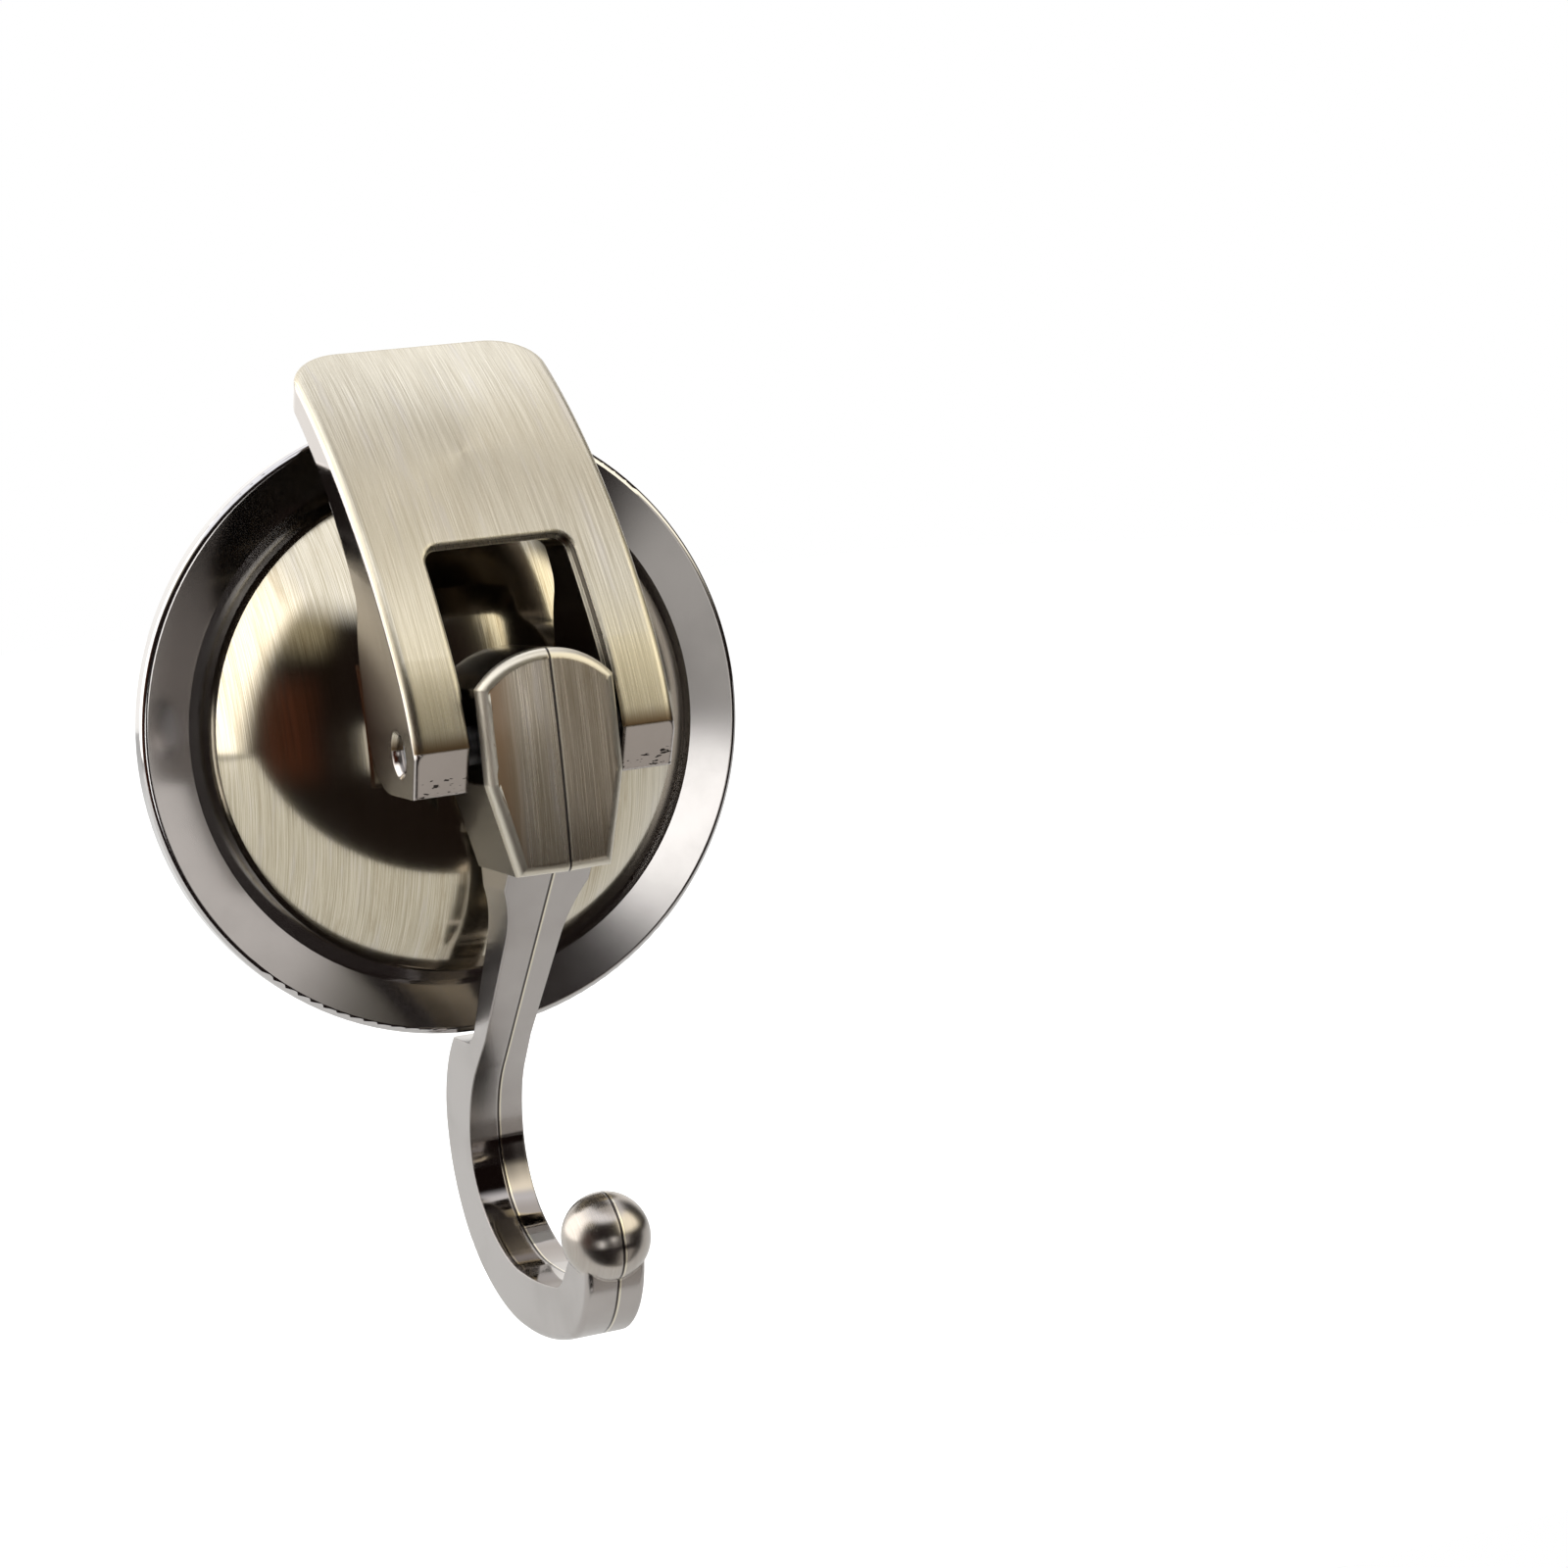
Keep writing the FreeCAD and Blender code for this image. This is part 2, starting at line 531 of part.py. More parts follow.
def blade_front(depth):
    """Front of the blade from the head round the throat to the post's top, sunk by depth."""
    level = FreeCAD.Vector(0, -1, 0)
    foot = dropped(SHANK_FOOT_OUT, SHANK_FOOT_DROP)
    up = (out_at(SHANK_TOP_OUT, HEAD_FOOT - SHANK_TOP_BELOW) - foot).normalize()
    top = foot + up * ((HEAD_FOOT + HEAD_OVERLAP - foot.z) / up.z)
    down = up * -1
    bend = dropped(BEND_INNER_OUT, BEND_INNER_DROP)
    heel = dropped(THROAT_HEEL_OUT, THROAT_HEEL_DROP)
    at_bend, at_heel = [end_tangent(e) for e in chain(foot, down, [bend, heel])]
    run = (THROAT_DROP - THROAT_HEEL_DROP) / tan(atan2(-at_heel.z, -at_heel.y) / 2)
    floor = dropped(THROAT_HEEL_OUT + run, THROAT_DROP)
    toe = dropped(THROAT_TOE_OUT, THROAT_TOE_DROP)
    at_toe = end_tangent(leaving(floor, level, toe))
    corner = toe + at_toe * THROAT_TURN
    post_top = dropped(POST_BACK_TOP_OUT, BALL_DROP)
    rise = (post_top - corner).normalize()
    places = [
        (top, down), (foot, down), (bend, at_bend), (heel, at_heel), (floor, level), (toe, at_toe),
        (corner + rise * THROAT_TURN, rise), (post_top, rise),
    ]
    sunk = []
    for point, tangent in places:
        into = FreeCAD.Vector(1, 0, 0).cross(tangent).normalize()
        sunk.append((point + into * depth, tangent))
    return [leaving(a, tangent, c) for (a, tangent), (c, _) in zip(sunk, sunk[1:])]


def blade_underside():
    """Arcs along the outside of the bend, from behind the shank to the post's foot."""
    return chain(dropped(BEND_BACK_OUT, BEND_BACK_DROP), FreeCAD.Vector(0, 0, -1), [
        dropped(BEND_HEEL_OUT, BEND_HEEL_DROP),
        dropped(BEND_BOTTOM_OUT, BEND_BOTTOM_DROP),
        dropped(POST_FOOT_OUT, POST_FOOT_DROP),
    ])


def post_front():
    """Arc down the post's front, upright at the ball's centre and ending at the post's foot."""
    top = dropped(POST_FRONT_OUT, BALL_DROP)
    return leaving(top, FreeCAD.Vector(0, 0, -1), dropped(POST_FOOT_OUT, POST_FOOT_DROP))


def blade_wire(x):
    """Side outline of the blade at x: its two front facets fall away from the middle."""
    front = blade_front(BLADE_ROOF * abs(x))
    start = front[0].valueAt(front[0].FirstParameter)
    end = front[-1].valueAt(front[-1].LastParameter)
    back_in_head = out_at(SHANK_BACK_TOP_OUT, start.z)
    back_top = out_at(SHANK_BACK_TOP_OUT, HEAD_FOOT - SHANK_TOP_BELOW)
    back_foot = dropped(NOTCH_OUT + SHANK_BACK_LEAN, SHANK_BACK_FOOT_DROP)
    notch = dropped(NOTCH_OUT, NOTCH_CLEARANCE)
    notch_back = dropped(NOTCH_BACK_OUT, NOTCH_CLEARANCE + NOTCH_FALL)
    bend_back = dropped(BEND_BACK_OUT, BEND_BACK_DROP)
    middle = (notch_back + bend_back) * 0.5
    shoulder = middle + (notch_back - bend_back).cross(FreeCAD.Vector(1, 0, 0)).normalize() * BEND_SHOULDER
    edges = front + [line(end, dropped(POST_FRONT_OUT, BALL_DROP)), post_front()] + blade_underside() + [
        arc(bend_back, shoulder, notch_back),
        line(notch_back, notch),
        line(notch, back_foot),
        line(back_foot, back_top),
        line(back_top, back_in_head),
        line(back_in_head, start),
    ]
    wire = Part.Wire(Part.sortEdges(edges)[0])
    wire.translate(FreeCAD.Vector(x, 0, 0))
    return wire


def blade_plan():
    """Front outline of the blade on y = 0: a flared top, a narrow shank and a wider post."""
    top = FreeCAD.Vector(FLARE_SPREAD, 0, HEAD_FOOT + HEAD_OVERLAP)
    flare_foot = FreeCAD.Vector(SHANK_HALF, 0, HEAD_FOOT - FLARE_LENGTH)
    bend = FreeCAD.Vector(BEND_HALF, 0, -COVER_R - SHANK_BACK_FOOT_DROP)
    post = FreeCAD.Vector(POST_HALF, 0, -COVER_R - BALL_DROP)
    foot = FreeCAD.Vector(POST_HALF, 0, -COVER_R - BEND_BOTTOM_DROP - PAST)
    fall = (bend - flare_foot).normalize() * -1
    rise = FreeCAD.Vector(0, 0, 1)
    right = [leaving(flare_foot, fall, top), line(flare_foot, bend), leaving(post, rise, bend)]
    middle_top = FreeCAD.Vector(0, 0, top.z)
    middle_foot = FreeCAD.Vector(0, 0, foot.z)
    edges = right + [line(post, foot), line(foot, middle_foot), line(middle_foot, middle_top),
                     line(middle_top, top)]
    return face_of(Part.sortEdges(edges)[0])


def head_outline():
    """Front outline of the shield on y = 0."""
    def pt(x, z):
        return FreeCAD.Vector(x, 0, z)

    left = [pt(-HEAD_HALF, HEAD_SHOULDER), pt(-HEAD_HALF, HEAD_WAIST), pt(-HEAD_FOOT_HALF, HEAD_FOOT)]
    right = [pt(-p.x, p.z) for p in left]
    crown = arc(left[0], pt(0, HEAD_TOP), right[0])
    return face_of([
        crown, line(right[0], right[1]), line(right[1], right[2]),
        line(right[2], left[2]), line(left[2], left[1]), line(left[1], left[0]),
    ])


def head_wire(x):
    """Side outline of the head's block at x: the crowned ridge falls towards the sides."""
    fall = HEAD_ROOF * abs(x) / HEAD_HALF
    front = PIN_REACH + HEAD_FRONT - fall
    low, high = HEAD_FOOT - PAST, HEAD_TOP + PAST
    back = PIN_REACH - HEAD_BACK
    middle = (low + high) / 2
    edges = [
        arc(at(front - HEAD_CROWN, low), at(front, middle), at(front - HEAD_CROWN, high)),
        line(at(front - HEAD_CROWN, high), at(back, high)),
        line(at(back, high), at(back, low)),
        line(at(back, low), at(front - HEAD_CROWN, low)),
    ]
    wire = Part.Wire(edges)
    wire.translate(FreeCAD.Vector(x, 0, 0))
    return wire


def end_distances(edge):
    """Distances of an edge's two ends from the middle plane x = 0."""
    return [abs(edge.valueAt(t).x) for t in (edge.FirstParameter, edge.LastParameter)]


def follows(edge, guides, slack):
    """True where an edge's middle, seen from the side, lies within slack of one of the guides."""
    middle = edge.valueAt((edge.FirstParameter + edge.LastParameter) / 2)
    seen = Part.Vertex(FreeCAD.Vector(0, middle.y, middle.z))
    return any(guide.distToShape(seen)[0] < slack for guide in guides)


def whole_from(half):
    """Solid joined from its right half and the half's mirror image."""
    mirrored = half.mirror(FreeCAD.Vector(0, 0, 0), FreeCAD.Vector(1, 0, 0))
    return half.fuse(mirrored).removeSplitter()


def make_half_head():
    """Right half of the shield, with its front rim rounded."""
    head = Part.makeLoft([head_wire(0), head_wire(HEAD_HALF + PAST)], True, True)
    head = head.common(through_y(head_outline(), 0, PIN_REACH + HEAD_FRONT + PAST))
    lowest = PIN_REACH + HEAD_FRONT - HEAD_ROOF - HEAD_CROWN - HEAD_RIM_ROUND
    rim = edges_where(head, lambda e, c: -c.y > lowest and max(end_distances(e)) > TOUCH)
    return head.makeFillet(HEAD_RIM_ROUND, rim)


def make_half_blade():
    """Right half of shank, bend and post, with its outer edges rounded."""
    far = COVER_FRONT + POST_FRONT_OUT + BALL_R
    blade = Part.makeLoft([blade_wire(0), blade_wire(FLARE_SPREAD + PAST)], True, True)
    blade = blade.common(through_y(blade_plan(), 0, far))
    outside = blade_underside() + [post_front()]
    rim = edges_where(blade, lambda e, c: min(end_distances(e)) > TOUCH and follows(e, outside, TOUCH))
    blade = blade.makeFillet(BLADE_ROUND, rim)
    lowest = -COVER_R - BEND_BOTTOM_DROP - PAST
    return blade.common(box(0, FLARE_HALF, 0, far, lowest, 0))


def make_hook():
    """One casting: shield head with a pocket for the stem, flared shank, bend, post and ball."""
    ball = Part.makeSphere(BALL_R, dropped(POST_FRONT_OUT - BALL_SETBACK, BALL_DROP))
    pocket_x = STEM_THICK / 2 + POCKET_CLEARANCE
    pocket_z = STEM_HIGH / 2 + POCKET_CLEARANCE
    pocket = box(-pocket_x, pocket_x, 0, PIN_REACH, -pocket_z, pocket_z)
    pocket = pocket.fuse(pin_cylinder(STEM_HIGH / 2 + POCKET_FRONT, pocket_x))
    hook = whole_from(make_half_head()).fuse([whole_from(make_half_blade()), ball])
    hook = hook.cut(pocket).cut(pin_cylinder(PIN_R + PIN_FIT, HEAD_HALF + PAST))
    return hook.removeSplitter()


def main():
    os.makedirs("parts", exist_ok=True)
    stem = make_cup_stem()
    solids = {
        "cup_stem": stem,
        "suction_cup": make_suction_cup(stem),
        "dome_cover": add_to_dome_cover(make_dome_cover()),
        "pivot_pin": make_pivot_pin(),
        "lever": make_lever(),
        "hook": make_hook(),
    }
    for name, solid in solids.items():
        print(name, len(solid.Solids), round(solid.Volume, 1), solid.isValid())
        solid.exportStep("parts/" + name + ".step")


main()
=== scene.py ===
"""Looks of a suction cup hook with a cam lever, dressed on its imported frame.

The frame holds the shapes. This script gives each piece its finish, and adds the soft studio
light, the pale floor and the camera. All lengths are in metres, in the frame's own axes: the
wall is the plane y = 0, the front of the hook faces -Y, and +Z is up. Left and right are those
of somebody who looks at the front.
"""
import logging
from dataclasses import dataclass
from enum import Enum
from functools import partial, reduce
from math import cos, pi, radians, sin

import bpy
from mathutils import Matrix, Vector

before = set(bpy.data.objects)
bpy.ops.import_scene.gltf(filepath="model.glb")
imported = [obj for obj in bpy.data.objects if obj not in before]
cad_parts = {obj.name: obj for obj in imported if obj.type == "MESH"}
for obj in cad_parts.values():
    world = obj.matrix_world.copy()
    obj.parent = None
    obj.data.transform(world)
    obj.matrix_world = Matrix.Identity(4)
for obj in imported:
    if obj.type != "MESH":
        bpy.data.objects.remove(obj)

log = logging.getLogger("suction_cup_hook")

Colour = tuple[float, float, float]
Triple = tuple[float, float, float]
Span = tuple[float, float]
Socket = bpy.types.NodeSocket

FRONT: Triple = (0.0, -1.0, 0.0)
BACK: Triple = (0.0, 1.0, 0.0)
LEFT: Triple = (-1.0, 0.0, 0.0)
RIGHT: Triple = (1.0, 0.0, 0.0)
UP: Triple = (0.0, 0.0, 1.0)
DOWN: Triple = (0.0, 0.0, -1.0)

WHITE: Colour = (1.0, 1.0, 1.0)
FULL_TURN = 360.0


class Piece(Enum):
    """Pieces of the hook, by their names in the frame."""

    SUCTION_CUP = "suction_cup"
    CUP_STEM = "cup_stem"
    DOME_COVER = "dome_cover"
    PIVOT_PIN = "pivot_pin"
    LEVER = "lever"
    HOOK = "hook"


class Mix(Enum):
    """What a Mix node mixes: its data type, and the numbers of its two inputs and its output."""

    COLOURS = ("RGBA", 6, 7, 2)
    VALUES = ("FLOAT", 2, 3, 0)


class NodePad:
    """A node tree that is written node by node."""

    def __init__(self, tree: bpy.types.NodeTree) -> None:
        """Starts on an empty tree.

        Args:
            tree: the node tree to write in.
        """
        self.tree = tree
        tree.nodes.clear()

    def add(self, kind: str, **settings: object) -> bpy.types.Node:
        """Adds a node and sets its properties.

        Args:
            kind: the node's type name.
            settings: properties of the node by name.

        Returns:
            The new node.
        """
        node = self.tree.nodes.new(kind)
        for name, value in settings.items():
            setattr(node, name, value)
        return node

    def link(self, source: Socket, target: Socket) -> None:
        """Links an output to an input."""
        self.tree.links.new(source, target)

    def fill(self, target: Socket, value: Socket | float | Triple) -> None:
        """Gives an input its value.

        Args:
            target: the input.
            value: an output to link, a number, a vector or a colour.
        """
        if isinstance(value, Socket):
            self.link(value, target)
        elif target.type == "RGBA":
            target.default_value = (*value, 1.0)
        else:
            target.default_value = value

    def maths(self, operation: str, *values: Socket | float) -> Socket:
        """Adds a Math node.

        Args:
            operation: the node's operation.
            values: its inputs, in order.

        Returns:
            The result.
        """
        node = self.add("ShaderNodeMath", operation=operation)
        for target, value in zip(node.inputs, values):
            self.fill(target, value)
        return node.outputs[0]

    def vectors(self, operation: str, *values: Socket | Triple) -> bpy.types.Node:
        """Adds a Vector Math node.

        Args:
            operation: the node's operation.
            values: its inputs, in order.

        Returns:
            The node, with the result in its Vector or its Value output.
        """
        node = self.add("ShaderNodeVectorMath", operation=operation)
        for target, value in zip(node.inputs, values):
            self.fill(target, value)
        return node

    def along(self, vector: Socket, direction: Triple) -> Socket:
        """Adds the reach of a vector along a direction."""
        return self.vectors("DOT_PRODUCT", vector, direction).outputs["Value"]

    def smooth_step(self, value: Socket, start: float, end: float) -> Socket:
        """Adds a Map Range node that rises smoothly from 0 to 1.

        Args:
            value: the value to map.
            start: where the result is 0.
            end: where the result is 1. It may be below start.

        Returns:
            The mapped value.
        """
        node = self.add("ShaderNodeMapRange", interpolation_type="SMOOTHSTEP")
        self.link(value, node.inputs["Value"])
        node.inputs["From Min"].default_value = start
        node.inputs["From Max"].default_value = end
        return node.outputs["Result"]

    def mix(self, kind: Mix, share: Socket, low: Socket | float | Colour,
            high: Socket | float | Colour) -> Socket:
        """Adds a Mix node.

        Args:
            kind: what it mixes.
            share: 0 gives low, and 1 gives high.
            low: a colour, a number or a socket.
            high: a colour, a number or a socket.

        Returns:
            The mixed colour or value.
        """
        data_type, low_input, high_input, output = kind.value
        node = self.add("ShaderNodeMix", data_type=data_type)
        self.link(share, node.inputs["Factor"])
        self.fill(node.inputs[low_input], low)
        self.fill(node.inputs[high_input], high)
        return node.outputs[output]

    def noise(self, vector: Socket, scale: Socket | float = 1.0, detail: float = 2.0,
              raggedness: float = 0.5) -> Socket:
        """Adds a Noise Texture node.

        Args:
            vector: where to read the noise.
            scale: grains per unit of the vector.
            detail: how many finer layers it has.
            raggedness: how strong the finer layers are.

        Returns:
            The noise, mostly from 0.2 to 0.8.
        """
        node = self.add("ShaderNodeTexNoise")
        settings = {"Vector": vector, "Scale": scale, "Detail": detail, "Roughness": raggedness}
        for name, value in settings.items():
            self.fill(node.inputs[name], value)
        return node.outputs["Fac"]


class GroupPad(NodePad):
    """A shader node group whose inputs are a place and some numbers."""

    def __init__(self, name: str, inputs: dict[str, float], outputs: tuple[str, ...]) -> None:
        """Starts the group.

        Args:
            name: the group's name.
            inputs: number inputs by name, with their defaults.
            outputs: names of the value outputs.
        """
        super().__init__(bpy.data.node_groups.new(name, "ShaderNodeTree"))
        new_socket = self.tree.interface.new_socket
        new_socket("Place", in_out="INPUT", socket_type="NodeSocketVector")
        for title, default in inputs.items():
            socket = new_socket(title, in_out="INPUT", socket_type="NodeSocketFloat")
            socket.default_value = default
        for title in outputs:
            new_socket(title, in_out="OUTPUT", socket_type="NodeSocketFloat")
        self.given = self.add("NodeGroupInput").outputs
        self.result = self.add("NodeGroupOutput").inputs


class MaterialPad(NodePad):
    """A material with a Principled shader, written node by node."""

    def __init__(self, name: str) -> None:
        """Starts the material.

        Args:
            name: the material's name.
        """
        self.material = bpy.data.materials.new(name)
        self.material.use_nodes = True
        super().__init__(self.material.node_tree)
        coordinates = self.add("ShaderNodeTexCoord").outputs
        self.place = coordinates["Object"]
        self.normal = coordinates["Normal"]
        shader = self.add("ShaderNodeBsdfPrincipled")
        self.shader = shader.inputs
        self.link(shader.outputs[0], self.add("ShaderNodeOutputMaterial").inputs["Surface"])

    def effect(self, group: bpy.types.NodeTree, settings: dict[str, float] | None = None) -> bpy.types.Node:
        """Adds a shared effect at the place on the piece.

        Args:
            group: the effect's node group.
            settings: the numbers that differ from the group's defaults, by name.

        Returns:
            The effect's node.
        """
        node = self.add("ShaderNodeGroup", node_tree=group)
        self.link(self.place, node.inputs["Place"])
        for name, value in (settings or {}).items():
            node.inputs[name].default_value = value
        return node


@dataclass(frozen=True)
class BrushStrokes:
    """Long fine scratches left by a brushing belt that ran upwards."""

    per_metre: float = 9000.0
    length: float = 0.014
    height_detail: float = 2.0
    streak_detail: float = 5.0
    streak_thinness: float = 1.3
    raggedness: float = 0.7

    def build(self) -> bpy.types.NodeTree:
        """Builds the shared effect.

        Returns:
            A group that puts out the strokes' height, and the lighter and darker lines between them.
        """
        pad = GroupPad("brush_strokes", {"Strokes per metre": self.per_metre, "Stroke length": self.length},
                       ("Height", "Streak"))
        layers = (("Height", 1.0, self.height_detail), ("Streak", self.streak_thinness, self.streak_detail))
        for title, thinness, detail in layers:
            across = pad.maths("MULTIPLY", pad.given["Strokes per metre"], thinness)
            lengthwise = pad.maths("DIVIDE", 1.0, pad.given["Stroke length"])
            scale = pad.add("ShaderNodeCombineXYZ")
            for axis, value in zip("XYZ", (across, lengthwise, lengthwise)):
                pad.link(value, scale.inputs[axis])
            stretched = pad.vectors("MULTIPLY", pad.given["Place"], scale.outputs[0])
            grain = pad.noise(stretched.outputs["Vector"], detail=detail, raggedness=self.raggedness)
            pad.link(grain, pad.result[title])
        return pad.tree


@dataclass(frozen=True)
class Handling:
    """Faint haze and wipe marks that handling leaves on a smooth surface."""

    marks_per_metre: float = 90.0
    detail: float = 5.0
    raggedness: float = 0.62
    step: Span = (0.42, 0.72)

    def build(self) -> bpy.types.NodeTree:
        """Builds the shared effect.

        Returns:
            A group that puts out the haze from 0 to 1.
        """
        pad = GroupPad("handling", {"Marks per metre": self.marks_per_metre}, ("Haze",))
        marks = pad.noise(pad.given["Place"], pad.given["Marks per metre"], self.detail, self.raggedness)
        pad.link(pad.smooth_step(marks, *self.step), pad.result["Haze"])
        return pad.tree


class Mask:
    """Where on a piece something holds."""

    def socket(self, pad: MaterialPad) -> Socket:
        """Adds the mask to a material.

        Args:
            pad: the material.

        Returns:
            1 where it holds, 0 where it doesn't, and values between along soft edges.
        """
        raise NotImplementedError


@dataclass(frozen=True)
class AnyOf(Mask):
    """Where at least one of several masks holds."""

    masks: tuple[Mask, ...]

    def socket(self, pad: MaterialPad) -> Socket:
        """Adds the masks to a material, and their largest value."""
        return reduce(partial(pad.maths, "MAXIMUM"), [mask.socket(pad) for mask in self.masks])


@dataclass(frozen=True)
class AllOf(Mask):
    """Where several masks hold at once."""

    masks: tuple[Mask, ...]

    def socket(self, pad: MaterialPad) -> Socket:
        """Adds the masks to a material, and their product."""
        return reduce(partial(pad.maths, "MULTIPLY"), [mask.socket(pad) for mask in self.masks])


@dataclass(frozen=True)
class Past(Mask):
    """Past a plane across a direction, at a reach from the origin, with a soft edge."""

    direction: Triple
    reach: float
    edge: float = 0.0001

    def socket(self, pad: MaterialPad) -> Socket:
        """Adds the mask to a material."""
        along = pad.along(pad.place, self.direction)
        return pad.smooth_step(along, self.reach - self.edge, self.reach + self.edge)


@dataclass(frozen=True)
class Facing(Mask):
    """Where the surface faces a direction. The step is in cosines of the angle between them."""

    direction: Triple
    step: Span

    def socket(self, pad: MaterialPad) -> Socket:
        """Adds the mask to a material."""
        cosine = pad.along(pad.normal, tuple(Vector(self.direction).normalized()))
        return pad.smooth_step(cosine, *self.step)


@dataclass(frozen=True)
class Sideways(Mask):
    """Where the surface faces to the left or the right. The step is in cosines of that angle."""

    step: Span

    def socket(self, pad: MaterialPad) -> Socket:
        """Adds the mask to a material."""
        return pad.smooth_step(pad.maths("ABSOLUTE", pad.along(pad.normal, RIGHT)), *self.step)


@dataclass(frozen=True)
class WithinRadius(Mask):
    """Within a radius of the stem's axis, which runs along Y through the origin."""

    radius: float
    edge: float = 0.0003

    def socket(self, pad: MaterialPad) -> Socket:
        """Adds the mask to a material.

        Args:
            pad: the material.

        Returns:
            1 within the radius, and 0 outside.
        """
        aside = pad.vectors("MULTIPLY", pad.place, (1.0, 0.0, 1.0)).outputs["Vector"]
        distance = pad.vectors("LENGTH", aside).outputs["Value"]
        return pad.smooth_step(distance, self.radius + self.edge, self.radius - self.edge)


@dataclass(frozen=True)
class NearPoint(Mask):
    """Within a radius of a point, with a share of the whole effect."""

    centre: Triple
    radius: float
    share: float = 1.0
    edge: float = 0.0002

    def socket(self, pad: MaterialPad) -> Socket:
        """Adds the mask to a material.

        Args:
            pad: the material.

        Returns:
            The share within the radius, and 0 outside.
        """
        distance = pad.vectors("DISTANCE", pad.place, self.centre).outputs["Value"]
        near = pad.smooth_step(distance, self.radius + self.edge, self.radius - self.edge)
        return pad.maths("MULTIPLY", near, self.share)


@dataclass(frozen=True)
class Knocks(Mask):
    """Small short knocks scattered over a worn face, with how many there are per metre."""

    along: float = 900.0
    across: float = 2600.0
    sparseness: float = 0.60
    edge: float = 0.03

    def socket(self, pad: MaterialPad) -> Socket:
        """Adds the mask to a material."""
        grains = pad.vectors("MULTIPLY", pad.place, (self.along, self.across, self.across)).outputs["Vector"]
        return pad.smooth_step(pad.noise(grains), self.sparseness, self.sparseness + self.edge)


@dataclass(frozen=True)
class PartingSeam:
    """Fine dark line that the mould's two halves leave along the casting, with a painted highlight beside it
    where its step catches the light.

    The fade says how many half widths from its middle the line starts and is complete.
    """

    aside: float = 0.0002
    half_width: float = 0.00011
    fade: Span = (1.6, 0.6)
    depth: float = 0.00003
    tone: Colour = (0.05, 0.04, 0.035)
    highlight_offset: float = 0.00022
    painted_highlight_tone: Colour = (0.68, 0.62, 0.50)

    def stripe(self, pad: MaterialPad, offset: float = 0.0) -> Socket:
        """Adds the mask of a stripe along the seam to a material.

        Args:
            pad: the material.
            offset: how far to the right of the seam the stripe runs.

        Returns:
            1 on the stripe, and 0 elsewhere.
        """
        across = pad.maths("SUBTRACT", pad.along(pad.place, RIGHT), self.aside + offset)
        start, end = (self.half_width * share for share in self.fade)
        return pad.smooth_step(pad.maths("ABSOLUTE", across), start, end)


@dataclass(frozen=True)
class BrushedPlating:
    """Brass plating brushed upwards under clear lacquer, with brown patina and pale bloom.

    Patina and bloom are long stains. Their steps say from where in the stains' noise each starts.
    """

    tone: Colour = (0.65, 0.595, 0.475)
    dark_tone: Colour = (0.42, 0.372, 0.275)
    streak_step: Span = (0.34, 0.66)
    roughness: float = 0.30
    unevenness: float = 0.15
    spread: float = 0.7
    stroke_depth: float = 0.000002
    lacquer: float = 0.3
    lacquer_roughness: float = 0.04
    stains_per_metre: float = 420.0
    stain_length: float = 0.02
    patina: float = 0.45
    patina_step: Span = (0.50, 0.72)
    patina_tone: Colour = (0.30, 0.23, 0.13)
    bloom: float = 0.35
    bloom_step: Span = (0.48, 0.30)
    bloom_tone: Colour = (0.55, 0.51, 0.50)


@dataclass(frozen=True)
class PolishedPlating:
    """Plating without brush strokes, from mirror bright to satin by its roughness."""

    tone: Colour = (0.50, 0.46, 0.43)
    hazed_tone: Colour = (0.47, 0.43, 0.40)
    roughness: float = 0.04
    haze: float = 0.05


@dataclass(frozen=True)
class ClearPlastic:
    """Clear plastic with a slight milky tint."""

    tint: Colour = (0.86, 0.88, 0.87)
    roughness: float = 0.2
    haze: float = 0.12
    refraction: float = 1.48


@dataclass(frozen=True)
class Zone:
    """A part of a piece with a tone and roughness of its own."""

    where: Mask
    tone: Colour
    roughness: float


@dataclass(frozen=True)
class PaintedShade(Zone):
    """Brown-black painted shade on backs, undersides and low sides, where shade falls."""

    tone: Colour = (0.105, 0.085, 0.070)
    roughness: float = 0.22


